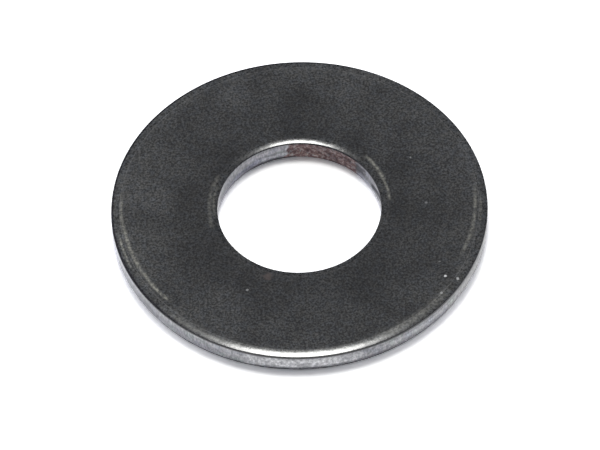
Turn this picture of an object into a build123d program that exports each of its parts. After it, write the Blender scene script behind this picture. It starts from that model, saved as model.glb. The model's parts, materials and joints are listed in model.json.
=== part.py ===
from build123d import *
import os

# Flat washer, 3/8 in size of the wide series, blanked and pierced from steel strip in one stroke.
# It is one solid piece. +Z is up and the origin is the centre of the face it lies on.
# All sizes are in millimetres.

# Sizes a bolt and a seat care about
outside_diameter = 25.40  # one inch across the sheared outer edge
bore_diameter = 11.05  # just under seven sixteenths of an inch, clears a 3/8 in bolt
thickness = 1.60  # of the strip, one sixteenth of an inch

# Die roll: the top face is drawn down at both edges before the punch breaks through
outer_roll_width = 0.85
outer_roll_depth = 0.17
bore_roll_width = 0.50
bore_roll_depth = 0.13
roll_shoulder_radius = 0.08  # where the roll turns into the upright sheared wall

# Sheared wall: an upright burnished land, then metal that tore on a slant down to the lower face
burnished_share = 0.65  # part of the wall under the die roll that is upright
outer_breakout = 0.12  # how far the torn outer wall leans in at the bottom
bore_breakout = 0.04  # how far the torn bore wall leans out at the bottom
lower_edge_break = 0.05  # tumbled off the lower edges

# Radii and heights that follow from them
outer_radius = outside_diameter / 2
bore_radius = bore_diameter / 2
outer_roll_foot = thickness - outer_roll_depth
bore_roll_foot = thickness - bore_roll_depth
outer_land_foot = outer_roll_foot * (1 - burnished_share)
bore_land_foot = bore_roll_foot * (1 - burnished_share)
lower_outer_radius = outer_radius - outer_breakout
lower_bore_radius = bore_radius + bore_breakout

# Half of the cross-section, standing on the XZ plane beside the axis, turned through a full circle
with BuildPart() as washer:
    with BuildSketch(Plane.XZ) as section:
        with BuildLine():
            top_face = Line(
                (bore_radius + bore_roll_width, thickness),
                (outer_radius - outer_roll_width, thickness),
            )
            outer_roll = TangentArc(top_face @ 1, (outer_radius, outer_roll_foot), tangent=(1, 0))
            outer_land = Line(outer_roll @ 1, (outer_radius, outer_land_foot))
            outer_torn = Line(outer_land @ 1, (lower_outer_radius, 0))
            lower_face = Line(outer_torn @ 1, (lower_bore_radius, 0))
            bore_torn = Line(lower_face @ 1, (bore_radius, bore_land_foot))
            bore_land = Line(bore_torn @ 1, (bore_radius, bore_roll_foot))
            bore_roll = TangentArc(top_face @ 0, bore_land @ 1, tangent=(-1, 0))
        make_face()
        shoulders = [
            section.vertices().sort_by_distance(roll @ 1)[0] for roll in (outer_roll, bore_roll)
        ]
        fillet(shoulders, radius=roll_shoulder_radius)
        lower_edges = section.vertices().group_by(Axis.Y)[0]
        fillet(lower_edges, radius=lower_edge_break)
    revolve(axis=Axis.Z)

os.makedirs("parts", exist_ok=True)
washer.part.label = "washer"
export_step(washer.part, "parts/washer.step")
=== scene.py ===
import math

import bpy
from mathutils import Matrix, Vector
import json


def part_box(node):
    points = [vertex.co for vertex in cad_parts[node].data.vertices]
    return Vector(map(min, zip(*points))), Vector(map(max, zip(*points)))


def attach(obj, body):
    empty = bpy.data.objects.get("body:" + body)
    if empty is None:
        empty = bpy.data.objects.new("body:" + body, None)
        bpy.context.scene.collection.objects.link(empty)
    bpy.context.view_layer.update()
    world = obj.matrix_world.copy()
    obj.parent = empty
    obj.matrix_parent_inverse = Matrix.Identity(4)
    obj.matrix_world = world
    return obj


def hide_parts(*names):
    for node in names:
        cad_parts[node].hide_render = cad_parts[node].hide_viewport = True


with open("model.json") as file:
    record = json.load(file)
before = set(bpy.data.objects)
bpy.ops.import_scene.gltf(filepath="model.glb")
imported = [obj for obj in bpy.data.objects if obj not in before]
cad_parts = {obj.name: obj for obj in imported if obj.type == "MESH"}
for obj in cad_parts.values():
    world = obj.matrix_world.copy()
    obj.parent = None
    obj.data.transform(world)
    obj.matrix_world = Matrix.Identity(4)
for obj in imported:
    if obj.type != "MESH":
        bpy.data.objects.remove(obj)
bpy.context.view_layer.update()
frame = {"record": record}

# ---- The ring -------------------------------------------------------------------------------
# One ring of plain low-carbon steel, blanked and pierced from hot rolled strip in a compound die.
# The die draws the upper edges down, burnishes the first part of each wall, and the rest tears.
# The strip's black mill scale stays on both faces, and the walls are left bare.
mm = 0.001
mounts = {mount["name"]: mount for mount in frame["record"]["mounts"]}
lower_corner, upper_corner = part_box("washer")
outer_radius = upper_corner.x
thickness = upper_corner.z
bore_radius = mounts["bore"]["dims"]["r_mm"] * mm

outer_roll_width, outer_roll_drop = 1.32 * mm, 0.098 * mm
bore_roll_width, bore_roll_drop = 1.04 * mm, 0.078 * mm
roll_sharpness = 3.1  # how late the roll bends over: 2 is an even arc
# the shoulder between roll and wall, as runs of so many mm across at so many degrees of slope
outer_shoulder = ((0.004, 30), (0.006, 52), (0.004, 70), (0.002, 83))
bore_shoulder = ((0.008, 27), (0.012, 44), (0.010, 60), (0.008, 73), (0.002, 84))
outer_breakout, bore_breakout = 0.11 * mm, 0.03 * mm
outer_land_foot, bore_land_foot = 0.34 * mm, 0.30 * mm
lower_break = 0.04 * mm
bore_drift = 0.045 * mm  # the punch sat this far off the middle, towards -Y
ring_steps = 1080

bpy.ops.object.select_all(action="DESELECT")
bpy.ops.mesh.primitive_circle_add(
    vertices=ring_steps, radius=outer_radius, location=(0, 0, outer_land_foot)
)
ring = bpy.context.object
ring.name = "washer_ring"
bpy.ops.object.transform_apply(location=True, rotation=True, scale=True)
bpy.ops.object.mode_set(mode="EDIT")
bpy.ops.mesh.select_mode(type="EDGE")
bpy.ops.mesh.select_all(action="SELECT")
last_ring = [outer_radius, outer_land_foot]


def next_ring(radius, height):
    """Extrudes the open edge of the shell to its next radius and height."""
    size = radius / last_ring[0]
    bpy.ops.mesh.extrude_edges_move()
    bpy.ops.transform.resize(value=(size, size, 1), center_override=(0, 0, 0))
    bpy.ops.transform.translate(value=(0, 0, height - last_ring[1]))
    last_ring[:] = radius, height


def walk(start, end, steps):
    """Extrudes an even run of rings from one radius and height to another."""
    for step in range(1, steps + 1):
        share = step / steps
        next_ring(
            start[0] + (end[0] - start[0]) * share, start[1] + (end[1] - start[1]) * share
        )


def rolled_edge(wall_radius, width, drop, shoulder, inward, steps=12):
    """Rings from the flat face over the die roll and round its shoulder to the upright wall."""
    edge = wall_radius + inward * sum(run for run, slope in shoulder) * mm
    crowding = 1.5  # sets the rings closer together towards the shoulder
    rows = []
    for step in range(steps + 1):
        across = 1 - (1 - step / steps) ** crowding
        height = thickness - drop * across**roll_sharpness
        rows.append((edge + inward * width * (1 - across), height))
    for run, slope in shoulder:
        radius, height = rows[-1]
        fall = run * math.tan(math.radians(slope))
        rows.append((radius - inward * run * mm, height - fall * mm))
    return rows


outer_rows = rolled_edge(outer_radius, outer_roll_width, outer_roll_drop, outer_shoulder, -1)
bore_rows = rolled_edge(bore_radius, bore_roll_width, bore_roll_drop, bore_shoulder, 1)
outer_land_top, bore_land_top = outer_rows[-1], bore_rows[-1]

walk((outer_radius, outer_land_foot), outer_land_top, 9)
for row in reversed(outer_rows[:-1]):
    next_ring(*row)
walk(outer_rows[0], bore_rows[0], 10)
for row in bore_rows[1:]:
    next_ring(*row)
walk(bore_land_top, (bore_radius, bore_land_foot), 7)
bore_foot = (bore_radius + bore_breakout, lower_break)
walk((bore_radius, bore_land_foot), bore_foot, 9)
lower_bore = (bore_foot[0] + lower_break, 0)
walk(bore_foot, lower_bore, 2)
outer_foot = (outer_radius - outer_breakout, lower_break)
lower_outer = (outer_foot[0] - lower_break, 0)
walk(lower_bore, lower_outer, 6)
walk(lower_outer, outer_foot, 2)
walk(outer_foot, (outer_radius, outer_land_foot), 9)
bpy.ops.mesh.select_all(action="SELECT")
bpy.ops.mesh.remove_doubles(threshold=0.0001 * mm)
bpy.ops.mesh.normals_make_consistent(inside=False)
bpy.ops.mesh.select_all(action="DESELECT")
bpy.ops.object.mode_set(mode="OBJECT")


def wall_side(place, drift=0.0):
    """0 for a point on the outer wall, 1 for one in the bore, None for one on neither."""
    if place.xy.length > outer_foot[0] - lower_break * 0.5:
        return 0
    from_bore = math.hypot(place.x, place.y + drift)
    if from_bore < bore_foot[0] + lower_break * 0.5:
        return 1
    return None


# The metal tears unevenly, so the land's foot wanders up and down and the torn part is pitted.
torn = ring.vertex_groups.new(name="torn_wall")
land_foot = ring.vertex_groups.new(name="land_foot")
foot_reach = 0.25 * mm  # how far from the foot the wall still follows it
pits_at_foot, pits_full_below = 0.25, 0.12 * mm
pits_on_side = (1.0, 0.45)  # the bore tore more cleanly than the outside
for vertex in ring.data.vertices:
    side = wall_side(vertex.co)
    if side is None:
        continue
    foot = (outer_land_foot, bore_land_foot)[side]
    below = foot - vertex.co.z
    if below > -0.001 * mm and vertex.co.z > lower_break * 0.5:
        pitting = min(1.0, pits_at_foot + below / pits_full_below) * pits_on_side[side]
        torn.add([vertex.index], pitting, "REPLACE")
    nearness = 1 - abs(below) / foot_reach
    if nearness > 0:
        land_foot.add([vertex.index], nearness, "REPLACE")


def unevenness(name, grain_size, group, direction, height, level):
    """Moves a group of vertices in and out by a clouded pattern."""
    pattern = bpy.data.textures.new(name, "CLOUDS")
    pattern.noise_scale = grain_size
    pattern.noise_depth = 3
    change = ring.modifiers.new(name, "DISPLACE")
    change.texture = pattern
    change.texture_coords = "LOCAL"
    change.vertex_group = group
    change.direction = direction
    change.strength = height
    change.mid_level = level
    bpy.ops.object.modifier_apply(modifier=change.name)


unevenness("wandering_foot", 0.9 * mm, "land_foot", "Z", 0.30 * mm, 0.5)
unevenness("torn_pits", 0.22 * mm, "torn_wall", "NORMAL", 0.07 * mm, 1.0)

# The bore is moved off the middle; the flat faces take it up without a change of shape.
middle_radius = (outer_radius + bore_radius) / 2
for vertex in ring.data.vertices:
    vertex.select = vertex.co.xy.length < middle_radius
bpy.ops.object.mode_set(mode="EDIT")
bpy.ops.mesh.select_mode(type="VERT")
bpy.ops.transform.translate(value=(0, -bore_drift, 0))
bpy.ops.mesh.select_all(action="DESELECT")
bpy.ops.object.mode_set(mode="OBJECT")
bpy.ops.object.shade_smooth_by_angle(angle=math.radians(38))
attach(ring, "root")
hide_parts("washer")

# The finishes are read from how far a point is from the axis, how high it is, and which way round
# the ring it lies.


def node_group(name, inputs, outputs):
    """An empty shader node group with named sockets."""
    group = bpy.data.node_groups.new(name, "ShaderNodeTree")
    for socket, kind, value in inputs:
        made = group.interface.new_socket(socket, in_out="INPUT", socket_type=kind)
        if value is not None:
            made.default_value = value
    for socket, kind in outputs:
        group.interface.new_socket(socket, in_out="OUTPUT", socket_type=kind)
    return group, group.nodes.new("NodeGroupInput").outputs, group.nodes.new("NodeGroupOutput")


def plug(tree, socket, value):
    """Links a socket to an input, or sets the input to a plain number, vector or colour."""
    if hasattr(value, "is_linked"):
        tree.links.new(value, socket)
    elif isinstance(value, tuple) and socket.type == "RGBA":
        socket.default_value = (*value, 1)
    else:
        socket.default_value = value


def maths(tree, operation, *values):
    """A Math node whose inputs are sockets or plain numbers."""
    node = tree.nodes.new("ShaderNodeMath")
    node.operation = operation
    for socket, value in zip(node.inputs, values):
        plug(tree, socket, value)
    return node.outputs[0]


def vectors(tree, operation, *values):
    """A Vector Math node whose inputs are sockets or plain vectors."""
    node = tree.nodes.new("ShaderNodeVectorMath")
    node.operation = operation
    for socket, value in zip(node.inputs, values):
        plug(tree, socket, value)
    return node


def rise(tree, value, low, high):
    """Goes smoothly from 0 at low to 1 at high, also where low is the larger of the two."""
    node = tree.nodes.new("ShaderNodeMapRange")
    node.interpolation_type = "SMOOTHSTEP"
    plug(tree, node.inputs["Value"], value)
    plug(tree, node.inputs["From Min"], low)
    plug(tree, node.inputs["From Max"], high)
    return node.outputs["Result"]


def noise(tree, place, size, detail=2.0, roughness=0.5):
    """Noise whose grains are about the given size in metres."""
    node = tree.nodes.new("ShaderNodeTexNoise")
    node.inputs["Scale"].default_value = 1 / size
    node.inputs["Detail"].default_value = detail
    node.inputs["Roughness"].default_value = roughness
    tree.links.new(place, node.inputs["Vector"])
    return node.outputs["Fac"]


def ramp(tree, value, *stops):
    """A colour ramp with stops of (place, colour)."""
    node = tree.nodes.new("ShaderNodeValToRGB")
    while len(node.color_ramp.elements) < len(stops):
        node.color_ramp.elements.new(0.5)
    for element, (place, colour) in zip(node.color_ramp.elements, stops):
        element.position = place
        element.color = (*colour, 1)
    tree.links.new(value, node.inputs["Fac"])
    return node.outputs["Color"]


def blend(tree, share, under, over, kind="MIX"):
    """Mixes two colours by a mask."""
    node = tree.nodes.new("ShaderNodeMix")
    node.data_type = "RGBA"
    node.blend_type = kind
    for index, value in ((0, share), (6, under), (7, over)):
        plug(tree, node.inputs[index], value)
    return node.outputs[2]


def fade(tree, share, under, over):
    """Mixes two numbers by a mask."""
    node = tree.nodes.new("ShaderNodeMix")
    for index, value in ((0, share), (2, under), (3, over)):
        plug(tree, node.inputs[index], value)
    return node.outputs[0]


def strongest(tree, masks):
    """The largest of several masks at each point."""
    largest = masks[0]
    for mask in masks[1:]:
        largest = maths(tree, "MAXIMUM", largest, mask)
    return largest


def use_group(tree, group, **values):
    """Places a node group and sets its named inputs."""
    node = tree.nodes.new("ShaderNodeGroup")
    node.node_tree = group
    for name, value in values.items():
        plug(tree, node.inputs[name.replace("_", " ")], value)
    return node.outputs


ring_place, _, place_out = node_group(
    "ring place",
    [],
    [
        ("Place", "NodeSocketVector"),
        ("Radius", "NodeSocketFloat"),
        ("Height", "NodeSocketFloat"),
        ("Bearing", "NodeSocketFloat"),
        ("Along Wall", "NodeSocketVector"),
    ],
)
where = ring_place.nodes.new("ShaderNodeTexCoord").outputs["Object"]
split = ring_place.nodes.new("ShaderNodeSeparateXYZ")
ring_place.links.new(where, split.inputs[0])
flat_place = vectors(ring_place, "MULTIPLY", where, (1.0, 1.0, 0.0)).outputs[0]
radius = vectors(ring_place, "LENGTH", flat_place).outputs["Value"]
# bearing in degrees, 0 towards +Y and growing towards +X
turned = maths(ring_place, "ARCTAN2", split.outputs["X"], split.outputs["Y"])
bearing = maths(ring_place, "DEGREES", turned)
# the walls are scored from top to bottom, so their pattern is drawn out along the height
drawn_out = vectors(ring_place, "MULTIPLY", where, (1.0, 1.0, 0.42)).outputs[0]
ring_place.links.new(where, place_out.inputs["Place"])
ring_place.links.new(radius, place_out.inputs["Radius"])
ring_place.links.new(split.outputs["Z"], place_out.inputs["Height"])
ring_place.links.new(bearing, place_out.inputs["Bearing"])
ring_place.links.new(drawn_out, place_out.inputs["Along Wall"])

# A stretch of the ring between two bearings, with soft ends
stretch, given, made = node_group(
    "stretch of ring",
    [
        ("Bearing", "NodeSocketFloat", 0.0),
        ("Middle", "NodeSocketFloat", 0.0),
        ("Half Span", "NodeSocketFloat", 10.0),
        ("Fade", "NodeSocketFloat", 5.0),
    ],
    [("Mask", "NodeSocketFloat"), ("Off Middle", "NodeSocketFloat")],
)
apart = maths(stretch, "SUBTRACT", given["Bearing"], given["Middle"])
off_middle = maths(stretch, "WRAP", apart, 180.0, -180.0)
far_end = maths(stretch, "ADD", given["Half Span"], given["Fade"])
inside = rise(stretch, maths(stretch, "ABSOLUTE", off_middle), far_end, given["Half Span"])
stretch.links.new(inside, made.inputs["Mask"])
stretch.links.new(off_middle, made.inputs["Off Middle"])

# A line rubbed through the scale where the washer tumbled against its neighbours; drawn wide, it
# also serves for a painted glow beside the highlight
rubbing_or_glow_band, given, made = node_group(
    "rubbed line",
    [
        ("Place", "NodeSocketVector", None),
        ("Radius", "NodeSocketFloat", 0.0),
        ("Bearing", "NodeSocketFloat", 0.0),
        ("Line Radius", "NodeSocketFloat", 0.0),
        ("Lean", "NodeSocketFloat", 0.0),
        ("Width", "NodeSocketFloat", 0.0),
        ("Middle", "NodeSocketFloat", 0.0),
        ("Half Span", "NodeSocketFloat", 10.0),
    ],
    [("Mask", "NodeSocketFloat")],
)
span = use_group(
    rubbing_or_glow_band,
    stretch,
    Bearing=given["Bearing"],
    Middle=given["Middle"],
    Half_Span=given["Half Span"],
    Fade=6.0,
)
sway = maths(rubbing_or_glow_band, "SUBTRACT", noise(rubbing_or_glow_band, given["Place"], 1.1 * mm), 0.5)
swayed = maths(rubbing_or_glow_band, "MULTIPLY_ADD", sway, 0.16 * mm, given["Radius"])
line = maths(rubbing_or_glow_band, "MULTIPLY_ADD", span["Off Middle"], given["Lean"], given["Line Radius"])
off_line = maths(rubbing_or_glow_band, "ABSOLUTE", maths(rubbing_or_glow_band, "SUBTRACT", swayed, line))
core = rise(rubbing_or_glow_band, off_line, given["Width"], 0.0)
skips = rise(rubbing_or_glow_band, noise(rubbing_or_glow_band, given["Place"], 0.19 * mm, 3, 0.6), 0.39, 0.66)
rubbed = maths(rubbing_or_glow_band, "MULTIPLY", core, span["Mask"])
broken = maths(rubbing_or_glow_band, "MULTIPLY_ADD", skips, 0.82, 0.18)
rubbing_or_glow_band.links.new(maths(rubbing_or_glow_band, "MULTIPLY", rubbed, broken), made.inputs["Mask"])

# A chip, a stain or a soft cloud at one place on the face
fleck, given, made = node_group(
    "fleck",
    [
        ("Place", "NodeSocketVector", None),
        ("Centre", "NodeSocketVector", None),
        ("Size", "NodeSocketFloat", 0.0),
    ],
    [("Mask", "NodeSocketFloat")],
)
ragged = maths(fleck, "SUBTRACT", noise(fleck, given["Place"], 0.16 * mm), 0.5)
reach = vectors(fleck, "DISTANCE", given["Place"], given["Centre"]).outputs["Value"]
edge = maths(fleck, "MULTIPLY_ADD", maths(fleck, "MULTIPLY", ragged, given["Size"]), 1.6, reach)
fleck.links.new(
    rise(fleck, edge, given["Size"], maths(fleck, "MULTIPLY", given["Size"], 0.35)),
    made.inputs["Mask"],
)

# Black mill scale: a thin hard oxide skin on both faces and over the rolled edges. The flat is
# matte. From these two radii to the walls it was rubbed smooth by the die and by tumbling.
outer_gloss, bore_gloss = 12.13 * mm, 5.96 * mm
mill_scale, _, made = node_group(
    "mill scale",
    [],
    [
        ("Colour", "NodeSocketColor"),
        ("Roughness", "NodeSocketFloat"),
        ("Relief", "NodeSocketFloat"),
    ],
)
tree = mill_scale
spot = use_group(tree, ring_place)
grain = noise(tree, spot["Place"], 0.148 * mm, 2, 0.75)
mottle = noise(tree, spot["Place"], 2.4 * mm, 3)
hue = noise(tree, spot["Place"], 0.35 * mm, 1)
colour = ramp(
    tree,
    grain,
    (0.34, (0.0140, 0.0141, 0.0148)),
    (0.50, (0.0369, 0.0372, 0.0390)),
    (0.66, (0.0675, 0.0680, 0.0707)),
)
tints = ramp(
    tree,
    hue,
    (0.35, (1.0, 0.99, 0.95)),
    (0.50, (0.99, 1.0, 0.99)),
    (0.65, (0.96, 1.0, 1.04)),
)
colour = blend(tree, 1.0, colour, tints, "MULTIPLY")
shades = ramp(tree, mottle, (0.36, (0.84, 0.84, 0.85)), (0.64, (1.18, 1.18, 1.17)))
colour = blend(tree, 1.0, colour, shades, "MULTIPLY")
# tumbling rubs the outside of the face a little paler than the inside, and most towards -X
outwards = rise(tree, spot["Radius"], 6.0 * mm, 12.0 * mm)
rubbing = blend(tree, outwards, (0.88, 0.88, 0.88), (1.22, 1.22, 1.20))
colour = blend(tree, 1.0, colour, rubbing, "MULTIPLY")
left_side = use_group(
    tree, stretch, Bearing=spot["Bearing"], Middle=-105.0, Half_Span=20.0, Fade=40.0
)
side_rubbing = maths(tree, "MULTIPLY", left_side["Mask"], outwards)
colour = blend(tree, side_rubbing, colour, (1.18, 1.18, 1.17), "MULTIPLY")

# the scale took unevenly and left soft clouds: x, y and size in mm, and what they multiply by
clouds = (
    (0.0, 9.0, 1.6, 0.80),
    (-4.0, 9.8, 1.8, 1.18),
    (3.5, 10.2, 2.4, 1.15),
    (6.2, 5.2, 2.2, 1.25),
    (11.0, 3.2, 2.6, 1.28),
    (7.2, -0.6, 2.0, 0.82),
    (4.8, -6.6, 3.0, 0.85),
    (-4.2, -8.6, 2.4, 1.14),
    (-7.2, 0.6, 1.8, 0.86),
    (-10.5, 1.0, 2.6, 1.18),
)
for x, y, size, shade in clouds:
    mask = use_group(
        tree, fleck, Place=spot["Place"], Centre=(x * mm, y * mm, thickness), Size=size * mm
    )["Mask"]
    colour = blend(tree, mask, colour, (shade, shade, shade), "MULTIPLY")

# the flat is most matte away from both rolls, and the change to smooth is sharp
from_outer_roll = rise(tree, spot["Radius"], outer_gloss, outer_gloss - 0.55 * mm)
from_bore_roll = rise(tree, spot["Radius"], bore_gloss, bore_gloss + 0.25 * mm)
matte = maths(tree, "MULTIPLY", from_outer_roll, from_bore_roll)
gloss_edge = 0.008 * mm
on_outer_roll = rise(tree, spot["Radius"], outer_gloss - gloss_edge, outer_gloss + gloss_edge)
on_bore_roll = rise(tree, spot["Radius"], bore_gloss + gloss_edge, bore_gloss - gloss_edge)
on_roll = maths(tree, "MAXIMUM", on_outer_roll, on_bore_roll)
flat_colour = blend(tree, 1.0, colour, (0.79, 0.79, 0.79), "MULTIPLY")
colour = blend(tree, on_roll, flat_colour, colour)

# painted shade along the outer shoulder: the smooth scale is drawn blackest there, least so
# towards +X
rim = rise(tree, spot["Radius"], 12.51 * mm, 12.59 * mm)
right_side = use_group(
    tree, stretch, Bearing=spot["Bearing"], Middle=85.0, Half_Span=55.0, Fade=30.0
)
painted_rim_shade = blend(tree, right_side["Mask"], (0.35, 0.35, 0.42), (0.85, 0.85, 0.87))
colour = blend(tree, rim, colour, painted_rim_shade, "MULTIPLY")

# rubbed lines, and two wide pale bands that are a painted glow of the highlight: radius and lean
# in mm, width in mm, middle and half span in degrees, strength
rubbed_lines = (
    (11.84, 0.0056, 0.20, -113, 14, 1.0),
    (12.00, 0.0056, 0.18, -92, 5, 0.60),
    (12.34, 0.0, 0.13, -106, 3, 0.8),
    (11.79, -0.0085, 0.20, 99, 11, 0.50),
    (11.84, 0.0, 0.16, 96, 3, 0.55),
    (12.24, 0.0, 0.15, 94, 2, 0.45),
    (6.17, -0.0030, 0.20, 60, 8, 0.75),
    (6.12, 0.0, 0.14, 76, 7, 0.60),
    (6.09, 0.0, 0.22, -84, 18, 0.32),
    (5.80, 0.0, 0.17, -82, 10, 0.30),
    # these two are no rubbing: wide pale bands beside the ends of the front highlight, a painted
    # glow of the highlight
    (12.20, 0.0, 0.42, 142, 11, 0.30),
    (12.42, 0.0, 0.22, -142, 8, 0.16),
)
line_and_glow_marks = []
for line_radius, lean, width, middle, half_span, strength in rubbed_lines:
    mask = use_group(
        tree,
        rubbing_or_glow_band,
        Place=spot["Place"],
        Radius=spot["Radius"],
        Bearing=spot["Bearing"],
        Line_Radius=line_radius * mm,
        Lean=lean * mm,
        Width=width * mm,
        Middle=float(middle),
        Half_Span=float(half_span),
    )["Mask"]
    line_and_glow_marks.append(maths(tree, "MULTIPLY", mask, strength))
wear_and_painted_glow = strongest(tree, line_and_glow_marks)
colour = blend(tree, wear_and_painted_glow, colour, (0.245, 0.241, 0.209))

# chips down to bright steel, and one brown stain: x, y and size in mm, strength
chips = (
    (9.63, -6.33, 0.13, 1.0),
    (10.42, -6.58, 0.15, 0.6),
    (9.28, -7.72, 0.12, 0.35),
    (9.25, -5.10, 0.10, 0.18),
    (8.55, -0.05, 0.12, 0.18),
    (7.65, 3.90, 0.09, 0.30),
    (-3.65, -7.00, 0.11, 0.30),
)
chip_marks = []
for x, y, size, strength in chips:
    mask = use_group(
        tree, fleck, Place=spot["Place"], Centre=(x * mm, y * mm, thickness), Size=size * mm
    )["Mask"]
    chip_marks.append(maths(tree, "MULTIPLY", mask, strength))
colour = blend(tree, strongest(tree, chip_marks), colour, (0.55, 0.56, 0.56))
stain = use_group(
    tree,
    fleck,
    Place=spot["Place"],
    Centre=(-2.25 * mm, -5.90 * mm, thickness),
    Size=0.42 * mm,
)["Mask"]
colour = blend(tree, maths(tree, "MULTIPLY", stain, 0.6), colour, (0.080, 0.064, 0.059))
gloss = maths(tree, "MULTIPLY_ADD", grain, 0.06, 0.115)
finish = fade(tree, on_roll, fade(tree, matte, 0.65, 0.85), gloss)
tree.links.new(colour, made.inputs["Colour"])
tree.links.new(fade(tree, wear_and_painted_glow, finish, 0.42), made.inputs["Roughness"])
# under the grain the skin is faintly wavy, which makes the shine on the rolled edges waver
waves = noise(tree, spot["Place"], 0.55 * mm, 1)
tree.links.new(maths(tree, "MULTIPLY_ADD", waves, 5.0, grain), made.inputs["Relief"])


def scaled(name, refraction):
    """A material of mill scale, which shines more the higher its refraction is."""
    material = bpy.data.materials.new(name)
    material.use_nodes = True
    tree = material.node_tree
    skin = tree.nodes["Principled BSDF"]
    look = use_group(tree, mill_scale)
    tree.links.new(look["Colour"], skin.inputs["Base Color"])
    tree.links.new(look["Roughness"], skin.inputs["Roughness"])
    skin.inputs["IOR"].default_value = refraction
    bump = tree.nodes.new("ShaderNodeBump")
    bump.inputs["Strength"].default_value = 1.0
    bump.inputs["Distance"].default_value = 0.0012 * mm
    tree.links.new(look["Relief"], bump.inputs["Height"])
    tree.links.new(bump.outputs["Normal"], skin.inputs["Normal"])
    return material


matte_scale = scaled("matte_mill_scale", 1.3)
smooth_scale = scaled("smooth_mill_scale", 1.6)

# Part of a wall: a stretch of bearings by a band of heights that may climb with the bearing
wall_part, given, made = node_group(
    "part of a wall",
    [
        ("Bearing", "NodeSocketFloat", 0.0),
        ("Height", "NodeSocketFloat", 0.0),
        ("Middle", "NodeSocketFloat", 0.0),
        ("Half Span", "NodeSocketFloat", 10.0),
        ("Fade", "NodeSocketFloat", 5.0),
        ("Low", "NodeSocketFloat", 0.0),
        ("High", "NodeSocketFloat", 0.0),
        ("Climb", "NodeSocketFloat", 0.0),
    ],
    [("Mask", "NodeSocketFloat")],
)
span = use_group(
    wall_part,
    stretch,
    Bearing=given["Bearing"],
    Middle=given["Middle"],
    Half_Span=given["Half Span"],
    Fade=given["Fade"],
)
climbed = maths(wall_part, "MULTIPLY", span["Off Middle"], given["Climb"])
level = maths(wall_part, "SUBTRACT", given["Height"], climbed)
over = maths(wall_part, "SUBTRACT", level, given["Low"])
under = maths(wall_part, "SUBTRACT", given["High"], level)
soft_edge = 0.07 * mm
band = maths(
    wall_part,
    "MULTIPLY",
    rise(wall_part, over, -soft_edge, soft_edge),
    rise(wall_part, under, -soft_edge, soft_edge),
)
wall_part.links.new(maths(wall_part, "MULTIPLY", band, span["Mask"]), made.inputs["Mask"])

# Bare steel where the punch and die went through, with a rust bloom in the bore
sheared = bpy.data.materials.new("sheared_steel")
sheared.use_nodes = True
tree = sheared.node_tree
bare = tree.nodes["Principled BSDF"]
spot = use_group(tree, ring_place)
fine = noise(tree, spot["Place"], 0.12 * mm, 2, 0.6)
scoring = noise(tree, spot["Along Wall"], 0.13 * mm, 2, 0.6)
drawn_up = vectors(tree, "MULTIPLY", spot["Place"], (1.0, 1.0, 0.8)).outputs[0]
flakes = noise(tree, drawn_up, 0.20 * mm, 3, 0.6)
patches = noise(tree, spot["Place"], 0.8 * mm, 2)
wander = noise(tree, spot["Place"], 0.55 * mm, 3, 0.6)
off_wander = maths(tree, "SUBTRACT", wander, 0.5)
warped = maths(tree, "MULTIPLY_ADD", off_wander, 14.0, spot["Bearing"])
warped_height = maths(tree, "MULTIPLY_ADD", off_wander, 0.35 * mm, spot["Height"])
in_bore = rise(tree, spot["Radius"], 9.0 * mm, 8.0 * mm)
on_outside = maths(tree, "SUBTRACT", 1.0, in_bore)

land = ramp(
    tree,
    scoring,
    (0.34, (0.200, 0.202, 0.211)),
    (0.50, (0.288, 0.290, 0.300)),
    (0.66, (0.410, 0.413, 0.423)),
)
tear = ramp(
    tree,
    fine,
    (0.34, (0.210, 0.212, 0.223)),
    (0.50, (0.302, 0.304, 0.316)),
    (0.66, (0.420, 0.422, 0.433)),
)
torn_share = rise(tree, warped_height, 0.44 * mm, 0.30 * mm)
steel = blend(tree, torn_share, land, tear)
casts = ramp(
    tree,
    patches,
    (0.36, (0.93, 0.95, 1.0)),
    (0.50, (1.0, 0.975, 0.99)),
    (0.64, (0.95, 1.0, 0.98)),
)
steel = blend(tree, 1.0, steel, casts, "MULTIPLY")
# painted shade in the hole: the steel of the bore is drawn darker than the outside's
bore_painted_shade = blend(tree, 1.0, steel, (0.78, 0.775, 0.80), "MULTIPLY")
steel = blend(tree, in_bore, steel, bore_painted_shade)

# how the shear went round each wall, mixed with painted light and shade where the steel mirrors
# lamps, lit floor and shadow: middle, half span and fade in degrees, low and high in mm, climb in
# mm a degree, and what the steel's colour is multiplied by
whole = (-0.2, 1.8, 0.0)
outer_shear_and_light_parts = (
    (-98, 13, 13, *whole, (1.14, 1.15, 1.19)),
    (-96, 5, 8, *whole, (1.25, 1.25, 1.26)),
    (-118, 8, 5, 0.45, 1.10, 0.0, (0.72, 0.72, 0.73)),
    (-131, 18, 6, 0.62, 1.22, 0.0, (0.86, 0.86, 0.87)),
    (174, 14, 5, 0.42, 0.70, 0.0, (1.22, 1.22, 1.22)),
    (158, 8, 4, 1.06, 1.25, 0.0, (0.80, 0.80, 0.80)),
    (102, 9, 6, 1.00, 1.40, 0.0, (0.60, 0.60, 0.59)),
    (164, 4, 3, 0.62, 1.28, 0.0, (0.82, 0.82, 0.83)),
    (-156, 8, 5, 0.22, 0.55, 0.0, (1.16, 1.16, 1.16)),
    (-164, 4, 3, 1.02, 1.35, 0.0, (0.80, 0.80, 0.80)),
    (-176, 8, 4, 1.10, 1.40, 0.0, (0.85, 0.85, 0.85)),
    (180, 56, 20, -0.2, 0.28, 0.0, (1.20, 1.20, 1.20)),
    (-139, 12, 6, 0.50, 0.95, 0.0, (0.90, 0.90, 0.92)),
    (100, 26, 10, *whole, (0.97, 0.965, 0.925)),
    (112, 30, 16, 1.02, 1.40, 0.0, (0.78, 0.78, 0.79)),
    (136, 12, 8, 0.74, 1.02, 0.0, (1.14, 1.14, 1.14)),
    (146, 13, 6, 0.15, 0.48, 0.0, (0.80, 0.80, 0.80)),
)
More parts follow.
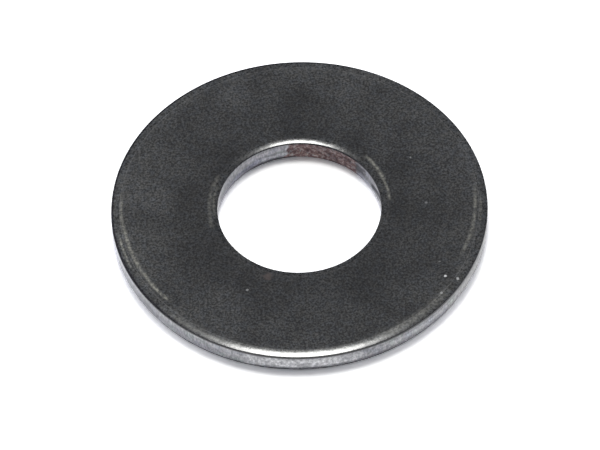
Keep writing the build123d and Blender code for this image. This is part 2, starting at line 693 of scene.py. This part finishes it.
bore_shear_and_light_parts = (
    (-88, 8, 9, *whole, (1.25, 1.25, 1.21)),
    (-50, 60, 12, -0.2, 0.42, 0.0, (1.45, 1.45, 1.45)),
    (-20, 11, 4, 0.36, 0.62, 0.0, (1.75, 1.75, 1.78)),
    (-23, 14, 4, 0.88, 1.20, 0.0, (1.25, 1.25, 1.26)),
    (-20, 10, 4, 0.66, 0.80, 0.0, (0.92, 0.92, 0.92)),
    (-41, 10, 6, 0.30, 0.72, 0.008, (0.90, 0.92, 1.02)),
    (-66, 12, 5, 0.45, 1.05, 0.0, (0.85, 0.85, 0.86)),
    (-33, 5, 4, -0.2, 0.60, 0.0, (0.82, 0.82, 0.83)),
    (7, 9, 4, -0.2, 0.62, 0.0, (1.25, 1.32, 1.28)),
    (8, 8, 4, 0.5, 1.25, 0.0, (1.14, 1.14, 1.12)),
    (33, 5, 3, -0.2, 0.50, 0.0, (1.2, 1.25, 1.25)),
    (42, 5, 4, 0.45, 1.25, 0.0, (0.82, 0.82, 0.82)),
    (64, 14, 8, 0.45, 1.40, 0.0, (0.60, 0.61, 0.67)),
    (57, 6, 4, 0.45, 0.90, 0.0, (0.82, 0.82, 0.82)),
    (66, 16, 8, -0.2, 0.36, 0.0, (1.42, 1.42, 1.45)),
    (60, 7, 4, -0.2, 0.30, 0.0, (1.35, 1.35, 1.35)),
    (76, 8, 4, 0.66, 1.20, 0.037, (0.50, 0.50, 0.52)),
    (2, 9, 4, 1.12, 1.60, 0.0, (1.35, 1.38, 1.38)),
    (-72, 5, 4, 0.35, 0.95, 0.0, (0.82, 0.82, 0.82)),
    (57, 4, 3, 0.84, 1.60, 0.0, (1.32, 1.30, 1.26)),
)


def part_mask(middle, half_span, soft, low, high, climb=0.0):
    """The mask of one part of a wall, its edges made to wander."""
    return use_group(
        tree,
        wall_part,
        Bearing=warped,
        Height=warped_height,
        Middle=float(middle),
        Half_Span=float(half_span),
        Fade=float(soft),
        Low=low * mm,
        High=high * mm,
        Climb=climb * mm,
    )["Mask"]


# at the front, where the blank dragged on the die, it is frosted with small pale flakes
frosted = maths(tree, "MULTIPLY", part_mask(180, 16, 4, 0.32, 1.25), on_outside)
frost = ramp(
    tree,
    flakes,
    (0.34, (0.261, 0.263, 0.275)),
    (0.50, (0.406, 0.407, 0.421)),
    (0.66, (0.628, 0.630, 0.647)),
)
steel = blend(tree, frosted, steel, frost)

# a rust bloom at the back of the bore, with a little steel still bare in it
bloom = use_group(tree, stretch, Bearing=warped, Middle=19.5, Half_Span=26.0, Fade=2.0)["Mask"]
bloom = maths(tree, "MULTIPLY", bloom, in_bore)
crust = noise(tree, spot["Place"], 0.26 * mm, 3, 0.65)
rust = ramp(
    tree,
    crust,
    (0.34, (0.062, 0.040, 0.042)),
    (0.50, (0.158, 0.091, 0.090)),
    (0.62, (0.330, 0.266, 0.264)),
)
bare_flecks = rise(tree, flakes, 0.56, 0.65)
bloom_cover = maths(tree, "MULTIPLY", bloom, maths(tree, "MULTIPLY_ADD", bare_flecks, -0.7, 1.0))
rust_depth = ramp(tree, patches, (0.38, (0.84, 0.80, 0.82)), (0.62, (1.18, 1.22, 1.20)))
rust = blend(tree, 1.0, rust, rust_depth, "MULTIPLY")
steel = blend(tree, bloom_cover, steel, rust)

# the run of the shear, with painted light and shade, shows through frost and rust
for side_share, parts in ((on_outside, outer_shear_and_light_parts), (in_bore, bore_shear_and_light_parts)):
    shear_and_painted_light = (1.0, 1.0, 1.0)
    for *place, shade in parts:
        shear_and_painted_light = blend(tree, part_mask(*place), shear_and_painted_light, shade, "MULTIPLY")
    steel = blend(tree, side_share, steel, blend(tree, 1.0, steel, shear_and_painted_light, "MULTIPLY"))

# black patches in the bore, partly grease left by the punch and partly painted shade, on the torn
# stretch towards +X and along the foot; in the same measures and then a strength
grease_and_shade_smears = (
    (75, 9, 4, 0.75, 1.16, 0.037, 1.0),
    (50, 4, 2, 0.60, 1.22, 0.0, 0.70),
    (-18, 15, 5, -0.05, 0.22, 0.0, 0.75),
)
dark_smear_marks = []
for *place, strength in grease_and_shade_smears:
    dark_smear_marks.append(maths(tree, "MULTIPLY", part_mask(*place), strength))
grease_and_painted_shade = maths(tree, "MULTIPLY", strongest(tree, dark_smear_marks), in_bore)
steel = blend(tree, grease_and_painted_shade, steel, (0.040, 0.041, 0.050))

# the scale skin is drawn over the shoulder and ends in a ragged line, lower towards +X
outer_skin_end, bore_skin_end = 1.33 * mm, 1.43 * mm
skin_slant, skin_raggedness = 0.035 * mm, 0.06 * mm
towards_right = maths(tree, "SINE", maths(tree, "RADIANS", spot["Bearing"]))
level_end = fade(tree, in_bore, outer_skin_end, bore_skin_end)
skin_end = maths(tree, "MULTIPLY_ADD", towards_right, -skin_slant, level_end)
ragged_height = maths(tree, "MULTIPLY_ADD", fine, skin_raggedness, spot["Height"])
above_end = maths(tree, "SUBTRACT", ragged_height, skin_end)
skinned = rise(tree, above_end, 0.01 * mm, 0.05 * mm)
steel = blend(tree, skinned, steel, (0.030, 0.0305, 0.033))
tree.links.new(steel, bare.inputs["Base Color"])
covered = maths(tree, "MAXIMUM", bloom_cover, grease_and_painted_shade)
hidden = maths(tree, "MAXIMUM", skinned, maths(tree, "MULTIPLY", covered, 0.95))
bare_metal = 0.95
tree.links.new(
    maths(tree, "MULTIPLY_ADD", hidden, -bare_metal, bare_metal), bare.inputs["Metallic"]
)
finish = fade(tree, torn_share, 0.30, 0.48)
tree.links.new(fade(tree, covered, finish, 0.80), bare.inputs["Roughness"])
relief = fade(tree, torn_share, scoring, fine)
bump = tree.nodes.new("ShaderNodeBump")
bump.inputs["Strength"].default_value = 1.0
bump.inputs["Distance"].default_value = 0.012 * mm
tree.links.new(relief, bump.inputs["Height"])
tree.links.new(bump.outputs["Normal"], bare.inputs["Normal"])

# Painted shade on the shoulder: a dull black line with little shine, where the bend lies in shade
shoulder_shade = bpy.data.materials.new("shoulder_painted_shade")
shoulder_shade.use_nodes = True
tree = shoulder_shade.node_tree
crease = tree.nodes["Principled BSDF"]
spot = use_group(tree, ring_place)
crumbs = noise(tree, spot["Place"], 0.15 * mm, 2, 0.6)
painted_crease_shade = ramp(tree, crumbs, (0.36, (0.012, 0.012, 0.015)), (0.64, (0.036, 0.036, 0.041)))
tree.links.new(painted_crease_shade, crease.inputs["Base Color"])
tree.links.new(maths(tree, "MULTIPLY_ADD", crumbs, 0.2, 0.4), crease.inputs["Roughness"])
crease.inputs["IOR"].default_value = 1.25

for material in (matte_scale, smooth_scale, sheared, shoulder_shade):
    ring.data.materials.append(material)
on_flat, on_smooth_roll, on_wall, on_shoulder = range(4)
# for the outside and then the bore: how high the roll ends, and how high the shoulder does
shoulder_heights = [
    (rows[-1 - len(runs)][1], rows[-1][1])
    for rows, runs in ((outer_rows, outer_shoulder), (bore_rows, bore_shoulder))
]
for face in ring.data.polygons:
    centre = face.center
    from_bore = math.hypot(centre.x, centre.y + bore_drift)
    side = 0 if centre.xy.length > middle_radius else 1
    roll_foot, land_top = shoulder_heights[side]
    past_gloss = (centre.xy.length > outer_gloss, from_bore < bore_gloss)[side]
    face.material_index = on_flat
    if not past_gloss or centre.z < lower_break / 2:
        continue
    face.material_index = on_smooth_roll
    if wall_side(centre, bore_drift) is None:
        continue
    if centre.z < land_top:
        face.material_index = on_wall
    elif centre.z < roll_foot:
        face.material_index = on_shoulder

# ---- The table ------------------------------------------------------------------------------
# A plain white sheet of paper, laid flat under the washer. It is drawn whiter to the eye and in
# the steel than it is to the light, so that it needs no more light and keeps the shadow.
bpy.ops.object.select_all(action="DESELECT")
bpy.ops.mesh.primitive_plane_add(size=4, location=(0, 0, 0))
floor = bpy.context.object
floor.name = "table"
paper = bpy.data.materials.new("white_table")
paper.use_nodes = True
white = paper.node_tree.nodes["Principled BSDF"]
seen = paper.node_tree.nodes.new("ShaderNodeLightPath").outputs
looked_at = maths(paper.node_tree, "MAXIMUM", seen["Is Camera Ray"], seen["Is Glossy Ray"])
looked_at = maths(paper.node_tree, "MAXIMUM", looked_at, seen["Is Transmission Ray"])
sheet_white = blend(paper.node_tree, looked_at, (0.96, 0.96, 0.96), (1.38, 1.38, 1.38))
paper.node_tree.links.new(sheet_white, white.inputs["Base Color"])
white.inputs["Roughness"].default_value = 0.9
white.inputs["Specular IOR Level"].default_value = 0.0
floor.data.materials.append(paper)

# ---- The lamps ------------------------------------------------------------------------------
# One softbox nearly overhead, a little behind the washer, in three discs so that it fades towards
# its rim, and dim panels low down on both sides, behind and in front. All stand equally far off.
lamp_distance = 0.6


def softbox(name, compass, zenith_angle, width, radiance, colour):
    """A round lamp that faces the washer from a bearing and an angle off the vertical."""
    lamp = bpy.data.lights.new(name, "AREA")
    lamp.shape = "DISK"
    lamp.size = width
    lamp.energy = radiance * math.pi * math.pi / 4 * width**2
    lamp.color = colour
    holder = bpy.data.objects.new(name, lamp)
    bpy.context.scene.collection.objects.link(holder)
    turn, lean = math.radians(compass), math.radians(zenith_angle)
    towards = Vector(
        (math.sin(lean) * math.sin(turn), math.sin(lean) * math.cos(turn), math.cos(lean))
    )
    holder.location = towards * lamp_distance
    holder.rotation_mode = "QUATERNION"
    holder.rotation_quaternion = towards.to_track_quat("Z", "Y")


warm, cool = (1.0, 1.0, 0.975), (0.94, 0.94, 1.0)
softbox("softbox_above", -2, 15, 0.160, 22.5, warm)
softbox("softbox_halo", -2, 13, 0.235, 3.2, warm)
softbox("softbox_skirt", -2, 12, 0.367, 0.7, warm)
panel_width = 0.34
softbox("panel_left", -80, 66, panel_width, 3.15, cool)
softbox("panel_right", 80, 66, panel_width, 3.7, cool)
softbox("panel_back_left", -50, 70, panel_width, 7.0, cool)
softbox("panel_back_right", 50, 70, panel_width, 3.8, cool)
softbox("panel_front_left", -130, 70, panel_width, 1.5, cool)
softbox("panel_front_right", 130, 70, panel_width, 1.2, cool)

world = bpy.data.worlds.new("studio")
bpy.context.scene.world = world
world.use_nodes = True
sky = world.node_tree.nodes["Background"]
sky.inputs["Color"].default_value = (0.90, 0.95, 1.0, 1)
sky.inputs["Strength"].default_value = 0.10

# ---- The camera -----------------------------------------------------------------------------
# A long lens looking down on the washer from the front, turned a little about its own line of
# sight, and aimed just in front of the middle.
camera_data = bpy.data.cameras.new("camera")
camera = bpy.data.objects.new("camera", camera_data)
bpy.context.scene.collection.objects.link(camera)
bpy.context.scene.camera = camera
elevation, tilt = 0.9045, -0.0318  # radians
camera_distance = 33 * outer_radius
camera_data.lens = 371.9
camera_data.sensor_width = 36
camera_data.clip_start = 0.01
aim = Vector((0.0007, -0.0288, 0)) * outer_radius
camera.location = Vector((0, -math.cos(elevation), math.sin(elevation))) * camera_distance
ahead = (aim - camera.location).normalized()
right = ahead.cross(Vector((0, 0, 1))).normalized()
up = right.cross(ahead)
across_view = math.cos(tilt) * right + math.sin(tilt) * up
up_view = -math.sin(tilt) * right + math.cos(tilt) * up
camera.rotation_mode = "QUATERNION"
camera.rotation_quaternion = Matrix((across_view, up_view, -ahead)).transposed().to_quaternion()

bpy.context.scene.view_settings.view_transform = "Standard"
